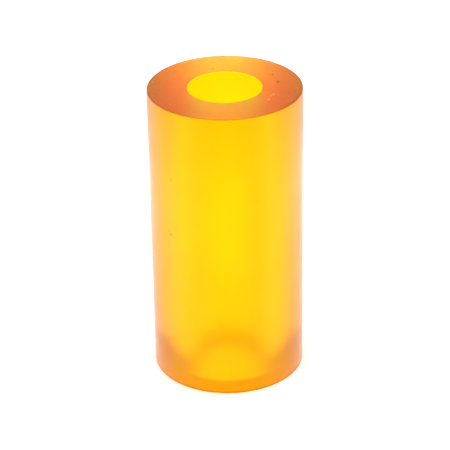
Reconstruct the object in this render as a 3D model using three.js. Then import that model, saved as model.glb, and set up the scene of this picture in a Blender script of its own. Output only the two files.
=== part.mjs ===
// A cast insulating bush: one thick-walled tube of translucent amber polyurethane, with a plain
// bore from end to end, square-cut ends and lightly broken edges.
// Millimetres, +Z up along the bore, origin at the centre of the end that the tube stands on.

import * as THREE from "three";

// Driving dimensions
const outerDiameter = 50;
const boreDiameter = 24;
const tubeLength = 100;
const outerEdgeRadius = 0.35; // edge break around the outside of each end
const boreEdgeRadius = 0.3; // edge break at each mouth of the bore

// Fineness of the facets
const stepsAround = 128;
const stepsPerEdge = 4;

const amberUrethane = new THREE.MeshStandardMaterial({
  name: "amber_urethane",
  color: 0xffc91a,
  roughness: 0.4,
  metalness: 0,
});

// One side of the tube's lengthwise section, as (distance from the axis, height). It runs up the
// outer wall, in over the top end, down the bore and out under the bottom end, turns each corner
// by a quarter circle, and closes on itself.
function tubeSection() {
  const outerCorner = outerDiameter / 2 - outerEdgeRadius;
  const boreCorner = boreDiameter / 2 + boreEdgeRadius;
  const quarterTurn = Math.PI / 2;

  const section = new THREE.Path();
  const turnCorner = (radial, height, radius, startAngle) =>
    section.absarc(radial, height, radius, startAngle, startAngle + quarterTurn, false);
  turnCorner(outerCorner, outerEdgeRadius, outerEdgeRadius, -quarterTurn);
  turnCorner(outerCorner, tubeLength - outerEdgeRadius, outerEdgeRadius, 0);
  turnCorner(boreCorner, tubeLength - boreEdgeRadius, boreEdgeRadius, quarterTurn);
  turnCorner(boreCorner, boreEdgeRadius, boreEdgeRadius, 2 * quarterTurn);
  section.closePath();

  const stepsPerDivision = 2; // a path cuts an arc into two steps for each division asked for
  return section.getPoints(stepsPerEdge / stepsPerDivision);
}

// The lathe turns the section about Y, so the finished tube is tipped up to stand along Z.
function makeTube() {
  const tube = new THREE.Mesh(new THREE.LatheGeometry(tubeSection(), stepsAround), amberUrethane);
  tube.name = "insulator_tube";
  tube.rotation.x = Math.PI / 2;
  return tube;
}

const insulator = new THREE.Group();
insulator.add(makeTube());

export default insulator;
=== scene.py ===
"""Visual model of a cast amber insulating bush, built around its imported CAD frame.

Laid out as a Blender add-on that is run as a script. The sizes and colours that a maker would change
are properties, each piece has an operator, and a panel in the 3D view's sidebar lists them all.
Everything is in metres, +Z up along the bore, with the tube standing on z = 0.
"""

from collections import namedtuple

import bpy
import numpy as np
from bpy.props import FloatProperty, FloatVectorProperty, IntProperty, PointerProperty
from bpy.types import Operator, Panel, PropertyGroup
from mathutils import Matrix, Vector


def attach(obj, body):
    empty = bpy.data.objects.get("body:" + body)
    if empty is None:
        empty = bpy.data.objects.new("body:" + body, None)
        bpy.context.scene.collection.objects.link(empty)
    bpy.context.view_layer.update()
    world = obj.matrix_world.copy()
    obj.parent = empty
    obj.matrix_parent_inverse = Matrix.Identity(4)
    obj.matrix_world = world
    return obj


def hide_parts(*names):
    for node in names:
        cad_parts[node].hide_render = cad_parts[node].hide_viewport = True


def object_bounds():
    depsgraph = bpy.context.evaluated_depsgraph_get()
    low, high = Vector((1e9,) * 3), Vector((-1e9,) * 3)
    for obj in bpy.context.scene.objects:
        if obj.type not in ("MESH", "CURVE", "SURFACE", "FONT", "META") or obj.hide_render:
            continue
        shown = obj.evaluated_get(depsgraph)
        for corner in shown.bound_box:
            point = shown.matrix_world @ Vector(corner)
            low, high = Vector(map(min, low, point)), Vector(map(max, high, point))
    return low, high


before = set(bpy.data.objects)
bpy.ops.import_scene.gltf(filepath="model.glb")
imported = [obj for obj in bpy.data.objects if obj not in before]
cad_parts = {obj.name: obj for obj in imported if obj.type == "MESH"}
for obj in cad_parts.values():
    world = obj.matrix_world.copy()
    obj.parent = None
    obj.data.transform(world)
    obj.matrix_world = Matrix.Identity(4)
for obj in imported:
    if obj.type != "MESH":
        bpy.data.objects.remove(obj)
cad_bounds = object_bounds()

bl_info = {
    "name": "Amber Insulating Bush",
    "version": (1, 0, 0),
    "blender": (4, 5, 0),
    "location": "View3D > Sidebar > Bush",
    "description": "Builds the cast amber bush and the plain studio that it stands in",
    "category": "Add Mesh",
}

TUBE_NODE = "insulator_tube"
SLOT = "amber_urethane"
QUARTER = np.pi / 2
BLACK = (0.0, 0.0, 0.0, 1.0)
WHITE = (1.0, 1.0, 1.0, 1.0)

# How finely the meshes are cut
ROUND_STEPS = 6  # across each rounded edge of the section
WALL_STEPS = 80  # along the outer wall, and along the bore
END_STEPS = 48  # across each cut end
STAGE_STEPS = 96  # around the table and the card

# The casting's slow waves
SWELL = 0.00001  # half the depth between a crest and a hollow, in metres
SWELL_AROUND = 3.0  # waves around the tube
SWELL_LEAN = 40.0  # radians that those waves turn through per metre of height
SWELL_ALONG = 95.0  # radians of the waves along the tube per metre of height

# Nicks in the outer edges, in metres
NICKS_PER_EDGE = 9
NICK_REACH = (0.0004, 0.0011)
NICK_DEPTH = (0.00004, 0.00014)

# Painted shade: thin dark lines along the edges, for the dark look of the rounded edges
SHADE_LINE_WIDTH = 0.0003  # how far the lines reach in over the ends, in metres
FOOT_SHADE_WIDTH = 0.0005  # how far the line along the lower edge reaches up the wall, in metres
RIM_SHADE_SHARE = 0.6  # strength of the rim lines next to the line up the wall

# Masks of the small marks
MARK_FADE = (0.5, 1.15)  # a mark starts to fade at, and is gone at, these shares of its half-size
END_MARK_DEPTH = 0.0003  # least distance that a mark on an end reaches into the body, in metres
WALL_MARK_DEPTH = 0.0005  # distance that a mark on the wall reaches into the body, in metres
WOBBLE = 0.00025  # how far the outline of a mark strays, in metres
WOBBLE_SCALE = 1500.0  # fineness of the straying, per metre

# Sizes of the surface patterns, in metres
CLOUD_SIZE = 0.02
MOTTLE_SIZE = 0.0016
BREAK_SIZE = 0.004  # of the breaks in the thin lines
PATCH_SIZE = 0.006  # of the duller and shinier patches
PEEL_SIZE = 0.0025
GRAIN_SIZE = 0.0004
PATTERN_HEIGHT = 0.000012  # of the orange peel
GRAIN_SHARE = 0.12  # height of the grain next to the peel
TURNING_SHARE = 0.12  # height of the turning marks next to the peel
TURNING_SCALE = 160.0  # gives rings about 2 mm apart

# Tints that the patterns and scratches put over the base colour, and the painted glint that the
# scratches give off as a light of their own
CLOUD_TINT = (0.99, 0.95, 0.9, 1.0)
MOTTLE_TINT = (0.985, 0.94, 0.88, 1.0)
SCRATCH_TINT = (1.0, 0.95, 0.5, 1.0)
PAINTED_GLINT = (0.3, 0.22, 0.08, 1.0)

# Where the table's painted glow changes, to paint shade around the tube and a pool of light in front on
# the left: the start and end of each change, in metres
UNDER_SPAN = (0.012, 0.026)  # away from the axis: from the bore's wall to just outside the tube
NEAR_SPAN = (0.085, 0.15)  # away from the axis
FAR_SPAN = (0.15, 0.2)  # away from the axis
BEHIND_SPAN = (0.15, 0.185)  # behind the tube
SIDE_SPAN = (0.015, 0.045)  # to either side of the tube
LEFT_SPAN = (0.03, 0.06)  # away from the axis, towards the front left
FRONT_LEFT = (-0.82, -0.57, 0.0)  # the way from the tube to the brighter part of the table
LEFT_FACING = (0.75, 0.96)  # cosine of the angle to that way, where the brighter part starts and is full

TABLE_RADIUS = 3.0
CARD_DARK_FROM = 0.6  # how far behind the axis the card gets darkest, as a share of the outer radius

# A small mark on the surface: the angle around the axis in degrees, the distance from the axis, the
# height above the lower end, its half-length, half-width and depth in metres, and the angle in
# degrees that its long side makes with the way around the tube.
Mark = namedtuple("Mark", "angle radius height half_length half_width depth turn")


def tube_sizes():
    """The tube's radii, length and edge rounds in metres, read off the points of its frame node."""
    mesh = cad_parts[TUBE_NODE].data
    points = np.empty(len(mesh.vertices) * 3, np.float32)
    mesh.vertices.foreach_get("co", points)
    points = points.reshape(-1, 3).astype(float)
    radial = np.hypot(points[:, 0], points[:, 1])
    height = points[:, 2].max()
    top_ring = radial[points[:, 2] > height - 1e-7]
    return {
        "outer_radius": radial.max(),
        "bore_radius": radial.min(),
        "length": height,
        "outer_edge": radial.max() - top_ring.max(),
        "bore_edge": top_ring.min() - radial.min(),
    }


SIZES = tube_sizes()
TOP = SIZES["length"]
WALL = SIZES["outer_radius"]

# Dark specks: dust cast into the top end, and pinholes in the outer wall.
SPECKS = (
    Mark(10.6, 0.0174, TOP, 0.00120, 0.00070, 0.00008, -16.0),
    Mark(29.9, 0.0179, TOP, 0.00065, 0.00036, 0.00004, -30.0),
    Mark(-14.0, 0.0211, TOP, 0.00035, 0.00025, 0.00004, 0.0),
    Mark(-168.0, 0.0224, TOP, 0.00032, 0.00025, 0.00004, 0.0),
    Mark(104.0, 0.0150, TOP, 0.00025, 0.00022, 0.00003, 0.0),
    Mark(-136.4, WALL, 0.0561, 0.00036, 0.00036, 0.00010, 0.0),
    Mark(-138.5, WALL, 0.0573, 0.00020, 0.00020, 0.00005, 0.0),
    Mark(-134.5, WALL, 0.0763, 0.00035, 0.00022, 0.00005, 0.0),
    Mark(28.0, WALL, 0.0410, 0.00030, 0.00030, 0.00008, 0.0),
    Mark(121.0, WALL, 0.0690, 0.00035, 0.00030, 0.00008, 0.0),
)
# Pale scratches and scuffs on the top end, which also carry a painted glint.
SCRATCHES_AND_GLINTS = (
    Mark(-22.5, 0.0167, TOP, 0.00080, 0.00036, 0.00003, 5.0),
    Mark(-27.0, 0.0163, TOP, 0.00060, 0.00034, 0.00003, 20.0),
    Mark(-37.0, 0.0171, TOP, 0.00130, 0.00030, 0.00003, 12.0),
    Mark(-144.1, 0.0212, TOP, 0.00050, 0.00032, 0.00003, 0.0),
    Mark(-3.9, 0.0230, TOP, 0.00040, 0.00028, 0.00003, 80.0),
    Mark(-29.0, 0.0226, TOP, 0.00050, 0.00025, 0.00003, 15.0),
    Mark(168.0, 0.0236, TOP, 0.00090, 0.00020, 0.00002, 4.0),
    Mark(75.0, 0.0205, TOP, 0.00110, 0.00016, 0.00002, 35.0),
)


class TubeSettings(PropertyGroup):
    """Sizes, colours and finish of the tube"""

    outer_radius: FloatProperty(
        name="Outer Radius",
        description="Radius of the outer wall",
        default=SIZES["outer_radius"],
        unit="LENGTH",
    )
    bore_radius: FloatProperty(
        name="Bore Radius",
        description="Radius of the bore",
        default=SIZES["bore_radius"],
        unit="LENGTH",
    )
    length: FloatProperty(
        name="Length",
        description="Distance between the two cut ends",
        default=SIZES["length"],
        unit="LENGTH",
    )
    outer_edge: FloatProperty(
        name="Outer Edge Round",
        description="Radius of the broken edge around the outside of each end",
        default=SIZES["outer_edge"],
        unit="LENGTH",
    )
    bore_edge: FloatProperty(
        name="Bore Edge Round",
        description="Radius of the broken edge at each mouth of the bore",
        default=SIZES["bore_edge"],
        unit="LENGTH",
    )
    steps_around: IntProperty(
        name="Steps Around",
        description="Facets around the tube",
        default=320,
        min=16,
    )
    absorbed: FloatVectorProperty(
        name="Absorbed Light",
        description="Red, green and blue that the urethane absorbs, per metre",
        default=(0.3, 19.0, 240.0),
        size=3,
        min=0.0,
    )
    wall_colour: FloatVectorProperty(
        name="Wall Colour",
        description="Tint of the moulded surfaces, taken on where light crosses them",
        default=(1.0, 0.88, 0.05),
        subtype="COLOR",
        size=3,
        min=0.0,
        max=1.0,
    )
    end_colour: FloatVectorProperty(
        name="End Colour",
        description="Tint of the two cut ends, taken on where light crosses them",
        default=(1.0, 0.79, 0.13),
        subtype="COLOR",
        size=3,
        min=0.0,
        max=1.0,
    )
    # Painted shade: the dark rim line stands in for the dark look of the rounded outer edges
    rim_shade_colour: FloatVectorProperty(
        name="Rim Colour",
        description="Tint of the thin dark line around the outside of each end",
        default=(0.3, 0.2, 0.12),
        subtype="COLOR",
        size=3,
        min=0.0,
        max=1.0,
    )
    # Painted shade: the golden line stands in for the darker look of the rounded mouth edges
    mouth_shade_colour: FloatVectorProperty(
        name="Mouth Colour",
        description="Tint of the soft golden line around each mouth of the bore",
        default=(0.8, 0.5, 0.05),
        subtype="COLOR",
        size=3,
        min=0.0,
        max=1.0,
    )
    speck_colour: FloatVectorProperty(
        name="Speck Colour",
        description="Tint of the dark specks and pinholes",
        default=(0.45, 0.2, 0.05),
        subtype="COLOR",
        size=3,
        min=0.0,
        max=1.0,
    )
    shine_colour: FloatVectorProperty(
        name="Shine Colour",
        description="Tint of what the surface mirrors head on",
        default=(1.0, 0.85, 0.0),
        subtype="COLOR",
        size=3,
        min=0.0,
        max=1.0,
    )
    clearness: FloatProperty(
        name="Clearness",
        description="Share of the light that passes through the surface and isn't scattered by it",
        default=1.0,
        min=0.0,
        max=1.0,
    )
    outer_roughness: FloatProperty(
        name="Outer Wall Roughness",
        description="Satin roughness of the outer wall",
        default=0.3,
        min=0.0,
        max=1.0,
    )
    bore_roughness: FloatProperty(
        name="Bore Roughness",
        description="Satin roughness of the bore",
        default=0.32,
        min=0.0,
        max=1.0,
    )
    top_roughness: FloatProperty(
        name="Top End Roughness",
        description="Roughness of the cut end on top",
        default=0.57,
        min=0.0,
        max=1.0,
    )
    bottom_roughness: FloatProperty(
        name="Bottom End Roughness",
        description="Roughness of the cut end that the tube stands on",
        default=0.55,
        min=0.0,
        max=1.0,
    )


class StudioSettings(PropertyGroup):
    """Camera, sky, table and card"""

    camera_distance: FloatProperty(
        name="Camera Distance",
        description="From the camera to the point that it looks at",
        default=0.6881,
        unit="LENGTH",
    )
    camera_elevation: FloatProperty(
        name="Camera Elevation",
        description="Height of the camera above the horizon",
        default=np.radians(28.209),
        subtype="ANGLE",
    )
    camera_roll: FloatProperty(
        name="Camera Roll",
        description="Turn of the camera about its own line of sight",
        default=np.radians(-0.976),
        subtype="ANGLE",
    )
    camera_aside: FloatProperty(
        name="Look Aside",
        description="How far the point that the camera looks at lies from the tube's axis, along X",
        default=-0.00067,
        unit="LENGTH",
    )
    lens: FloatProperty(
        name="Lens",
        description="Focal length in millimetres, on a sensor 36 mm wide",
        default=166.684,
    )
    horizon: FloatProperty(
        name="Horizon Brightness",
        description="Brightness of the white surroundings at table height",
        default=1.0,
        min=0.0,
    )
    overhead: FloatProperty(
        name="Overhead Brightness",
        description="Brightness of the white surroundings straight above",
        default=1.72,
        min=0.0,
    )
    # The card is painted light: it glows orange in front and dark red behind, painting the light and
    # shade under the tube
    card_back: FloatVectorProperty(
        name="Card Back Colour",
        description="Colour of the far side of the warm card under the tube",
        default=(0.06, 0.004, 0.002),
        subtype="COLOR",
        size=3,
        min=0.0,
        max=1.0,
    )
    card_front: FloatVectorProperty(
        name="Card Front Colour",
        description="Colour of the near side of the warm card under the tube",
        default=(1.0, 0.39, 0.02),
        subtype="COLOR",
        size=3,
        min=0.0,
        max=1.0,
    )
    card_glow: FloatProperty(
        name="Card Glow",
        description="How brightly the warm card under the tube shines",
        default=1.66,
        min=0.0,
    )
    card_depth: FloatProperty(
        name="Card Depth",
        description="How far the card lies below the tube's lower end",
        default=0.0001,
        unit="LENGTH",
    )
    table_depth: FloatProperty(
        name="Table Depth",
        description="How far the table top lies below the tube's lower end",
        default=0.0003,
        unit="LENGTH",
    )
    table_glow: FloatProperty(
        name="Table Glow",
        description="How brightly the lit table shines into the tube",
        default=1.3,
        min=0.0,
    )
    seen_glow: FloatProperty(
        name="Seen Glow",
        description="The table's glow as the camera sees it, just enough for a clean white",
        default=0.4,
        min=0.0,
    )
    # The table's glow is painted light: shares below 1 paint shade in the bore, close around the tube,
    # far away, far behind and at its sides, and the share in front on the left paints a pool of light
    # there
    glow_under: FloatProperty(
        name="Glow Under",
        description="Share of the table's glow that is left inside the bore",
        default=0.64,
        min=0.0,
    )
    glow_near: FloatProperty(
        name="Glow Near",
        description="Share of the table's glow that is left close around the tube",
        default=0.7,
        min=0.0,
    )
    glow_far: FloatProperty(
        name="Glow Far",
        description="Share of the table's glow that is left far from the tube",
        default=0.5,
        min=0.0,
    )
    glow_behind: FloatProperty(
        name="Glow Behind",
        description="Share of the table's glow that is left far behind the tube",
        default=0.4,
        min=0.0,
    )
    glow_sides: FloatProperty(
        name="Glow Sides",
        description="Share of the table's glow that is left on both sides of the tube",
        default=0.88,
        min=0.0,
    )
    painted_pool_left: FloatProperty(
        name="Glow Left",
        description="How much brighter the table shines in front on the left",
        default=1.3,
        min=0.0,
    )
    floor_colour: FloatVectorProperty(
        name="Floor Colour",
        description="Colour of the white table",
        default=(0.6, 0.6, 0.6),
        subtype="COLOR",
        size=3,
        min=0.0,
        max=1.0,
    )


def eased(start, stop, steps):
    """steps + 1 values from start to stop, close together at both ends: half a cosine wave."""
    turn = np.linspace(0.0, np.pi, steps + 1)
    return start + (stop - start) * (1.0 - np.cos(turn)) / 2.0


def quarter_round(centre, radius, start):
    """Points and normals of a quarter circle: centre + radius (cos a, sin a), a from start on."""
    angle = start + np.linspace(0.0, QUARTER, ROUND_STEPS + 1)
    normal = np.stack([np.cos(angle), np.sin(angle)], axis=1)
    return np.asarray(centre) + radius * normal, normal


def tube_section(tube):
    """One side of the lengthwise section, as points and outward normals in (radius, height).

    Four quarter rounds stand at the corners in turn, and straight runs join each to the next: up the
    outer wall, in over the top end, down the bore and out under the bottom end.
    """
    outer = tube.outer_radius - tube.outer_edge
    inner = tube.bore_radius + tube.bore_edge
    rounds = [
        quarter_round((outer, tube.outer_edge), tube.outer_edge, -QUARTER),
        quarter_round((outer, tube.length - tube.outer_edge), tube.outer_edge, 0.0),
        quarter_round((inner, tube.length - tube.bore_edge), tube.bore_edge, QUARTER),
        quarter_round((inner, tube.bore_edge), tube.bore_edge, 2 * QUARTER),
    ]
    runs = [WALL_STEPS, END_STEPS, WALL_STEPS, END_STEPS]
    points, normals = [], []
    for index, steps in enumerate(runs):
        here, here_normal = rounds[index]
        there = rounds[(index + 1) % len(rounds)][0]
        share = eased(0.0, 1.0, steps)[1:-1, None]
        points += [here, here[-1] + (there[0] - here[-1]) * share]
        normals += [here_normal, np.repeat(here_normal[-1:], steps - 1, axis=0)]
    return np.concatenate(points), np.concatenate(normals)


def mark_centre(mark):
    """The mark's centre: (radius cos a, radius sin a, height)."""
    angle = np.radians(mark.angle)
    return np.array([mark.radius * np.cos(angle), mark.radius * np.sin(angle), mark.height])


def edge_nicks(tube):
    """Small nicks at random places along the outer edge of both ends."""
    random = np.random.default_rng(7)
    nicks = []
    for height in (0.0, tube.length):
        for angle in random.uniform(-180.0, 180.0, NICKS_PER_EDGE):
            reach = random.uniform(*NICK_REACH)
            depth = random.uniform(*NICK_DEPTH)
            nicks.append(Mark(angle, tube.outer_radius, height, reach, reach, depth, 0.0))
    return nicks


def relief(tube, points):
    """How deep each point is pressed in, in metres.

    Each mark presses in a round dimple, depth * exp(-(distance / reach) squared). On top of that the
    whole surface waves by two hundredths of a millimetre, as a casting does: swell times
    (1 - cos(around * b + lean * z) * cos(along * z)), where b is the angle around the axis.
    """
    around = np.arctan2(points[:, 1], points[:, 0])
    height = points[:, 2]
    waves = np.cos(SWELL_AROUND * around + SWELL_LEAN * height) * np.cos(SWELL_ALONG * height)
    depth = SWELL * (1.0 - waves)
    for mark in (*SPECKS, *SCRATCHES_AND_GLINTS, *edge_nicks(tube)):
        distance = np.linalg.norm(points - mark_centre(mark), axis=1)
        reach = (mark.half_length + mark.half_width) / 2
        depth += mark.depth * np.exp(-((distance / reach) ** 2))
    return depth


def closed_grid_faces(rows, columns):
    """Quads of a grid whose rows and columns both join up end to end, facing outwards."""
    row, column = np.meshgrid(np.arange(rows), np.arange(columns), indexing="ij")
    next_row, next_column = (row + 1) % rows, (column + 1) % columns
    corners = [(row, column), (row, next_column), (next_row, next_column), (next_row, column)]
    return np.stack([r * columns + c for r, c in corners], axis=-1).reshape(-1, 4)


def mesh_from_arrays(name, points, faces):
    """A smooth-shaded mesh from an array of points and an array of quads."""
    mesh = bpy.data.meshes.new(name)
    mesh.from_pydata(points.tolist(), [], faces.tolist())
    mesh.polygons.foreach_set("use_smooth", np.ones(len(mesh.polygons), bool))
    mesh.update()
    return mesh


def tube_masks(tube, section, normals):
    """Masks from 0 to 1 at each point of the section: the ends, the bore, and thin lines of painted
    shade at the edges.

    A line fades from its edge as exp(-(distance / width) squared). One runs in over each end from the
    outer rim, one from each mouth of the bore, and one up the outer wall from the lower edge.
    """
    radius, height = section.T
    sideways, upward = normals.T
    turned_over = np.abs(upward)
    from_rim = np.clip(tube.outer_radius - tube.outer_edge - radius, 0.0, None)
    from_mouth = np.clip(radius - tube.bore_radius - tube.bore_edge, 0.0, None)
    above_foot = np.clip(height - tube.outer_edge, 0.0, None)
    rim_shade_line = turned_over * np.exp(-((from_rim / SHADE_LINE_WIDTH) ** 2))
    foot_shade_line = np.clip(sideways, 0.0, 1.0) * np.exp(-((above_foot / FOOT_SHADE_WIDTH) ** 2))
    return {
        "top_end": np.clip(upward, 0.0, 1.0) ** 2,
        "bottom_end": np.clip(-upward, 0.0, 1.0) ** 2,
        "bore_wall": np.clip(-sideways, 0.0, 1.0) ** 2,
        # The rim and mouth lines are painted shade along the rounded edges
        "rim": np.maximum(RIM_SHADE_SHARE * rim_shade_line, foot_shade_line),
        "mouth": turned_over * np.exp(-((from_mouth / SHADE_LINE_WIDTH) ** 2)),
    }


def tube_mesh(tube):
    """The section turned about Z: (r cos b, r sin b, z) for b all the way round."""
    section, normals = tube_section(tube)
    around = np.linspace(0.0, 2 * np.pi, tube.steps_around, endpoint=False)
    across, along = np.cos(around), np.sin(around)

    def turned(radius, height):
        rows = [radius[:, None] * across, radius[:, None] * along, height[:, None] + 0.0 * around]
        return np.stack(rows, axis=-1).reshape(-1, 3)

    points = turned(section[:, 0], section[:, 1])
    outward = turned(normals[:, 0], normals[:, 1])
    points -= relief(tube, points)[:, None] * outward
    faces = closed_grid_faces(len(section), len(around))
    mesh = mesh_from_arrays("insulator_tube_body", points, faces)
    for name, share in tube_masks(tube, section, normals).items():
        values = np.repeat(share, len(around)).astype(np.float32)
        mesh.attributes.new(name, "FLOAT", "POINT").data.foreach_set("value", values)
    return mesh


class Nodes:
    """A short way to write the nodes of a material or of the surroundings."""

    def __init__(self, owner):
        owner.use_nodes = True
        self.owner = owner
        self.tree = owner.node_tree
        self.tree.nodes.clear()

    def add(self, kind, settings=None, **inputs):
        """A node of that kind. Each input is a value, or an output socket to link."""
        node = self.tree.nodes.new(kind)
        for key, value in (settings or {}).items():
            setattr(node, key, value)
        for key, value in inputs.items():
            self.feed(node.inputs[key.replace("_", " ")], value)
        return node

    def feed(self, socket, value):
        """Link an output socket to an input, or set the input to a value."""
        if isinstance(value, bpy.types.NodeSocket):
            self.tree.links.new(value, socket)
        else:
            socket.default_value = value

    def maths(self, operation, first, second=0.0):
        """A Math node's result."""
        node = self.add("ShaderNodeMath", {"operation": operation})
        self.feed(node.inputs[0], first)
        self.feed(node.inputs[1], second)
        return node.outputs[0]

    def vector_maths(self, operation, *inputs):
        """A Vector Math node."""
        node = self.add("ShaderNodeVectorMath", {"operation": operation})
        for socket, value in zip(node.inputs, inputs):
            self.feed(socket, value)
        return node

    def length(self, vector):
        """The length of a vector."""
        return self.vector_maths("LENGTH", vector).outputs["Value"]

    def blend(self, first, second, share):
        """A value between two others: first where share is 0, second where it is 1."""
        node = self.add("ShaderNodeMix", {"data_type": "FLOAT"})
        self.feed(node.inputs[0], share)
        self.feed(node.inputs[2], first)
        self.feed(node.inputs[3], second)
        return node.outputs[0]

    def colour_blend(self, first, second, share, kind="MIX"):
        """A colour between two others: first where share is 0, second where it is 1."""
        node = self.add("ShaderNodeMix", {"data_type": "RGBA", "blend_type": kind})
        self.feed(node.inputs[0], share)
        self.feed(node.inputs[6], first)
        self.feed(node.inputs[7], second)
        return node.outputs[2]

    def object_place(self):
        """The place of the shaded point, in metres."""
        return self.add("ShaderNodeTexCoord").outputs["Object"]

    def attribute(self, name):
        """A mask that the mesh carries."""
        return self.add("ShaderNodeAttribute", {"attribute_name": name}).outputs["Fac"]

    def noise(self, place, size, detail=3.0):
        """Noise from 0 to 1, in blobs of about that size in metres."""
        node = self.add("ShaderNodeTexNoise", Vector=place, Scale=1.0 / size, Detail=detail)
        return node.outputs["Fac"]

    def ramp(self, value, start, stop, first=0.0, last=1.0):
        """first where value is below start, last where it is above stop, smoothly between them."""
        node = self.add(
            "ShaderNodeMapRange",
            {"interpolation_type": "SMOOTHSTEP"},
            Value=value,
            From_Min=start,
            From_Max=stop,
            To_Min=first,
            To_Max=last,
        )
        return node.outputs["Result"]

    def wobbled(self, place):
        """The place, shifted a little this way and that."""
        noise = self.add("ShaderNodeTexNoise", Vector=place, Scale=WOBBLE_SCALE)
        span = (2 * WOBBLE,) * 3
        shifted = self.vector_maths("MULTIPLY_ADD", noise.outputs["Color"], span, place)
        centred = self.vector_maths("SUBTRACT", shifted.outputs["Vector"], (WOBBLE,) * 3)
        return centred.outputs["Vector"]

    def mark(self, place, mark):
        """A mask that is 1 on an oval mark and fades out at its rim.

        Each mark has axes of its own: X runs around the tube, or as far off that way as the mark is
        turned, Y runs along the radius and Z up. So the way into the body is Y on the wall and Z on
        an end.
        """
        reach = (mark.half_length, mark.half_width, max(mark.half_width, END_MARK_DEPTH))
        if mark.radius == WALL:
            reach = (mark.half_length, WALL_MARK_DEPTH, mark.half_width)
        local = self.add(
            "ShaderNodeMapping",
            {"vector_type": "TEXTURE"},
            Vector=place,
            Location=mark_centre(mark),
            Rotation=(0.0, 0.0, np.radians(mark.angle + 90.0 + mark.turn)),
            Scale=reach,
        )
        return self.ramp(self.length(local.outputs["Vector"]), *MARK_FADE, 1.0, 0.0)

    def marks(self, place, marks):
        """A mask that is 1 on any of the marks."""
        mask = 0.0
        for mark in marks:
            mask = self.maths("MAXIMUM", mask, self.mark(place, mark))
        return mask


def urethane_colour(nodes, tube, masks, place):
    """Amber walls, more orange ends, painted shade as dark lines along the edges, and slow clouds over
    it all.
    """
    colour = nodes.colour_blend((*tube.wall_colour, 1.0), (*tube.end_colour, 1.0), masks["cut_end"])
    clouds = nodes.ramp(nodes.noise(place, CLOUD_SIZE, detail=4.0), 0.35, 0.65)
    colour = nodes.colour_blend(colour, CLOUD_TINT, clouds, "MULTIPLY")
    mottle = nodes.ramp(nodes.noise(place, MOTTLE_SIZE), 0.4, 0.65)
    mottle = nodes.maths("MULTIPLY", mottle, masks["cut_end"])
    colour = nodes.colour_blend(colour, MOTTLE_TINT, mottle, "MULTIPLY")
    # Painted shade: dark lines along the rims, the lower edge and the mouths, broken here and there
    uneven = nodes.ramp(nodes.noise(place, BREAK_SIZE), 0.3, 0.7, first=0.75, last=1.0)
    rim = nodes.maths("MULTIPLY", masks["rim"], uneven)
    colour = nodes.colour_blend(colour, (*tube.rim_shade_colour, 1.0), rim)
    mouth = nodes.maths("MULTIPLY", masks["mouth"], uneven)
    colour = nodes.colour_blend(colour, (*tube.mouth_shade_colour, 1.0), mouth)
    colour = nodes.colour_blend(colour, (*tube.speck_colour, 1.0), masks["specks"])
    return nodes.colour_blend(colour, SCRATCH_TINT, masks["scratches"])


def urethane_roughness(nodes, tube, masks, place):
    """Satin walls and duller cut ends, with patches a little duller or shinier than the rest."""
    roughness = nodes.blend(tube.outer_roughness, tube.bore_roughness, masks["bore_wall"])
    roughness = nodes.blend(roughness, tube.top_roughness, masks["top_end"])
    roughness = nodes.blend(roughness, tube.bottom_roughness, masks["bottom_end"])
    noise = nodes.noise(place, PATCH_SIZE, detail=4.0)
    patches = nodes.ramp(noise, 0.3, 0.7, first=0.94, last=1.06)
    return nodes.maths("MULTIPLY", roughness, patches)


def urethane_normal(nodes, masks, place):
    """Orange peel two or three millimetres across, a finer grain, and turning marks on the ends."""
    peel = nodes.noise(place, PEEL_SIZE, detail=2.0)
    grain = nodes.maths("MULTIPLY", nodes.noise(place, GRAIN_SIZE, detail=2.0), GRAIN_SHARE)
    rings = nodes.add(
        "ShaderNodeTexWave",
        {"wave_type": "RINGS", "rings_direction": "Z"},
        Vector=place,
        Scale=TURNING_SCALE,
        Distortion=0.6,
        Detail=2.0,
    )
    turning = nodes.maths("MULTIPLY", rings.outputs["Fac"], masks["cut_end"])
    turning = nodes.maths("MULTIPLY", turning, TURNING_SHARE)
    height = nodes.maths("ADD", nodes.maths("ADD", peel, grain), turning)
    bump = nodes.add("ShaderNodeBump", Height=height, Strength=1.0, Distance=PATTERN_HEIGHT)
    return bump.outputs["Normal"]


def amber_urethane(tube):
    """Satin urethane: rough clear surfaces over a body that absorbs blue and some green."""
    nodes = Nodes(bpy.data.materials.new(SLOT))
    place = nodes.object_place()
    uneven_place = nodes.wobbled(place)
    names = ("bore_wall", "top_end", "bottom_end", "rim", "mouth")
    masks = {name: nodes.attribute(name) for name in names}
    masks["cut_end"] = nodes.maths("ADD", masks["top_end"], masks["bottom_end"])
    masks["specks"] = nodes.marks(uneven_place, SPECKS)
    masks["scratches"] = nodes.marks(uneven_place, SCRATCHES_AND_GLINTS)

    surface = nodes.add(
        "ShaderNodeBsdfPrincipled",
        Base_Color=urethane_colour(nodes, tube, masks, place),
        Metallic=0.0,
        Roughness=urethane_roughness(nodes, tube, masks, place),
        IOR=1.5,
        Normal=urethane_normal(nodes, masks, place),
        Transmission_Weight=tube.clearness,
        Specular_Tint=(*tube.shine_colour, 1.0),
        # Painted glint: the scratches give off a faint light of their own
        Emission_Color=nodes.colour_blend(BLACK, PAINTED_GLINT, masks["scratches"]),
        Emission_Strength=1.0,
    )
    strongest = max(tube.absorbed)
    body = nodes.add(
        "ShaderNodeVolumeAbsorption",
        Color=(*[1.0 - taken / strongest for taken in tube.absorbed], 1.0),
        Density=strongest,
    )
    nodes.add(
        "ShaderNodeOutputMaterial",
        Surface=surface.outputs["BSDF"],
        Volume=body.outputs["Volume"],
    )
    return nodes.owner


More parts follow.
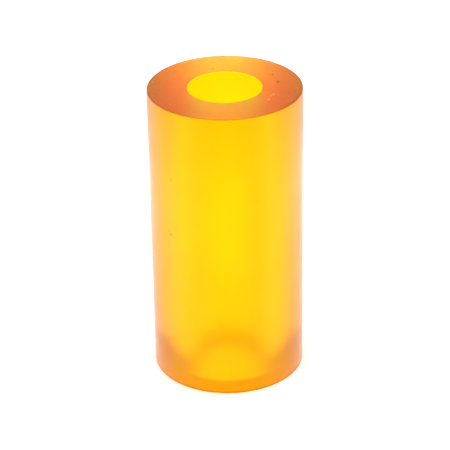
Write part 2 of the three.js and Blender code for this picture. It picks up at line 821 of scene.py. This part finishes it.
def painted_table_light(nodes, studio):
    """The table's painted glow: painted shade in the bore, close to the tube, at its sides and far away.

    In front on the left it is a little brighter, a painted pool of light with no lamp there.
    """
    place = nodes.object_place()
    split = nodes.add("ShaderNodeSeparateXYZ", Vector=place)
    distance = nodes.length(place)
    behind = split.outputs["Y"]
    aside = nodes.maths("ABSOLUTE", split.outputs["X"])
    glow = studio.table_glow
    for share in (
        nodes.ramp(distance, *UNDER_SPAN, studio.glow_under, 1.0),
        nodes.ramp(distance, *NEAR_SPAN, studio.glow_near, 1.0),
        nodes.ramp(distance, *FAR_SPAN, 1.0, studio.glow_far),
        nodes.ramp(behind, *BEHIND_SPAN, 1.0, studio.glow_behind),
        nodes.ramp(aside, *SIDE_SPAN, 1.0, studio.glow_sides),
    ):
        glow = nodes.maths("MULTIPLY", share, glow)

    towards = nodes.vector_maths("NORMALIZE", place).outputs["Vector"]
    facing = nodes.vector_maths("DOT_PRODUCT", towards, FRONT_LEFT).outputs["Value"]
    left = nodes.ramp(facing, *LEFT_FACING)
    left = nodes.maths("MULTIPLY", left, nodes.ramp(distance, *LEFT_SPAN))
    return nodes.maths("MULTIPLY", glow, nodes.blend(1.0, studio.painted_pool_left, left))


def white_table(studio):
    """A white table top with a fine matt grain. The camera sees it as a clean, shadowless white, while
    rays that reach the tube see its painted glow, with painted shade near the tube.
    """
    nodes = Nodes(bpy.data.materials.new("white_table"))
    grain = nodes.add("ShaderNodeTexNoise", Scale=400.0, Detail=2.0)
    matt = nodes.add("ShaderNodeMapRange", Value=grain.outputs["Fac"], To_Min=0.75, To_Max=0.9)
    seen = nodes.add("ShaderNodeLightPath").outputs["Is Camera Ray"]
    surface = nodes.add(
        "ShaderNodeBsdfPrincipled",
        Base_Color=(*studio.floor_colour, 1.0),
        Roughness=matt.outputs["Result"],
        Emission_Color=WHITE,
        Emission_Strength=nodes.blend(painted_table_light(nodes, studio), studio.seen_glow, seen),
    )
    nodes.add("ShaderNodeOutputMaterial", Surface=surface.outputs["BSDF"])
    return nodes.owner


def warm_card(tube, studio):
    """A glowing card of painted light under the lower end: dark red behind, which paints shade, to a
    bright orange in front.
    """
    nodes = Nodes(bpy.data.materials.new("warm_card"))
    behind = nodes.add("ShaderNodeSeparateXYZ", Vector=nodes.object_place()).outputs["Y"]
    front = nodes.ramp(behind, CARD_DARK_FROM * tube.outer_radius, -tube.outer_radius)
    colour = nodes.colour_blend((*studio.card_back, 1.0), (*studio.card_front, 1.0), front)
    surface = nodes.add(
        "ShaderNodeBsdfPrincipled",
        Base_Color=colour,
        Roughness=0.9,
        Emission_Color=colour,
        Emission_Strength=studio.card_glow,
    )
    nodes.add("ShaderNodeOutputMaterial", Surface=surface.outputs["BSDF"])
    return nodes.owner


def link_object(name, data):
    """A new object for that data, in the scene, at the origin."""
    made = bpy.data.objects.new(name, data)
    bpy.context.scene.collection.objects.link(made)
    return made


def white_surroundings(studio):
    """A white sky, whose brightness runs evenly from the horizon to overhead."""
    nodes = Nodes(bpy.data.worlds.new("white_surroundings"))
    direction = nodes.add("ShaderNodeTexCoord").outputs["Generated"]
    brightness = nodes.add(
        "ShaderNodeMapRange",
        Value=nodes.add("ShaderNodeSeparateXYZ", Vector=direction).outputs["Z"],
        To_Min=studio.horizon,
        To_Max=studio.overhead,
    )
    sky = nodes.add("ShaderNodeBackground", Color=WHITE, Strength=brightness.outputs["Result"])
    nodes.add("ShaderNodeOutputWorld", Surface=sky.outputs["Background"])
    return nodes.owner


def unit_circle():
    """Points (cos b, sin b, 0) for b all the way round."""
    angle = np.linspace(0.0, 2 * np.pi, STAGE_STEPS, endpoint=False)
    return np.stack([np.cos(angle), np.sin(angle), 0.0 * angle], axis=1)


class BUSH_OT_make_tube(Operator):
    """Make the cast tube, which stands for its CAD node"""

    bl_idname = "bush.make_tube"
    bl_label = "Make Tube"

    def execute(self, context):
        tube = context.scene.bush_tube
        piece = link_object("insulator_tube_body", tube_mesh(tube))
        piece.data.materials.append(amber_urethane(tube))
        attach(piece, "root")
        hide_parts(TUBE_NODE)
        return {"FINISHED"}


class BUSH_OT_make_studio(Operator):
    """Make the white table, the warm card, the white surroundings and the camera"""

    bl_idname = "bush.make_studio"
    bl_label = "Make Studio"

    def execute(self, context):
        scene = context.scene
        studio = scene.bush_studio
        self.make_table(studio)
        self.make_card(scene.bush_tube, studio)
        scene.world = white_surroundings(studio)
        self.make_camera(scene, studio)
        scene.view_settings.view_transform = "Standard"
        return {"FINISHED"}

    def make_table(self, studio):
        """A wide disc just under the tube: (R cos b, R sin b) all the way round."""
        rim = TABLE_RADIUS * unit_circle()
        rim[:, 2] = -studio.table_depth
        mesh = bpy.data.meshes.new("studio_table")
        mesh.from_pydata(rim.tolist(), [], [list(range(len(rim)))])
        mesh.materials.append(white_table(studio))
        link_object("studio_table", mesh)

    def make_card(self, tube, studio):
        """A ring-shaped card under the lower end: (r cos b, r sin b) from the bore to the outside."""
        reach = np.array([tube.bore_radius + tube.bore_edge, tube.outer_radius - tube.outer_edge])
        points = (reach[:, None, None] * unit_circle()).reshape(-1, 3)
        points[:, 2] = -studio.card_depth
        faces = closed_grid_faces(2, STAGE_STEPS)[:STAGE_STEPS]
        mesh = mesh_from_arrays("studio_card", points, faces[:, ::-1])
        mesh.materials.append(warm_card(tube, studio))
        link_object("studio_card", mesh)

    def make_camera(self, scene, studio):
        """A long lens in front of the tube, a little above it, aimed at the middle of its axis."""
        low, high = cad_bounds
        target = Vector(((low.x + high.x) / 2 + studio.camera_aside, 0.0, (low.z + high.z) / 2))
        back = Vector((0.0, -np.cos(studio.camera_elevation), np.sin(studio.camera_elevation)))
        data = bpy.data.cameras.new("studio_camera")
        data.lens = studio.lens
        data.sensor_width = 36.0
        camera = link_object("studio_camera", data)
        aim = back.to_track_quat("Z", "Y").to_matrix().to_4x4()
        roll = Matrix.Rotation(studio.camera_roll, 4, "Z")
        camera.matrix_world = Matrix.Translation(target + back * studio.camera_distance) @ aim @ roll
        scene.camera = camera


class BUSH_PT_panel(Panel):
    """The bush's sizes, colours and finish, the studio's settings, and the two operators"""

    bl_label = "Insulating Bush"
    bl_idname = "BUSH_PT_panel"
    bl_space_type = "VIEW_3D"
    bl_region_type = "UI"
    bl_category = "Bush"

    def draw(self, context):
        layout = self.layout
        for group in (context.scene.bush_tube, context.scene.bush_studio):
            for name in group.bl_rna.properties.keys():
                if name not in {"rna_type", "name"}:
                    layout.prop(group, name)
        layout.operator(BUSH_OT_make_tube.bl_idname)
        layout.operator(BUSH_OT_make_studio.bl_idname)


CLASSES = (TubeSettings, StudioSettings, BUSH_OT_make_tube, BUSH_OT_make_studio, BUSH_PT_panel)


def register():
    for cls in CLASSES:
        bpy.utils.register_class(cls)
    bpy.types.Scene.bush_tube = PointerProperty(type=TubeSettings)
    bpy.types.Scene.bush_studio = PointerProperty(type=StudioSettings)


def unregister():
    del bpy.types.Scene.bush_studio
    del bpy.types.Scene.bush_tube
    for cls in reversed(CLASSES):
        bpy.utils.unregister_class(cls)


def main():
    register()
    bpy.ops.bush.make_tube()
    bpy.ops.bush.make_studio()


if __name__ == "__main__":
    main()
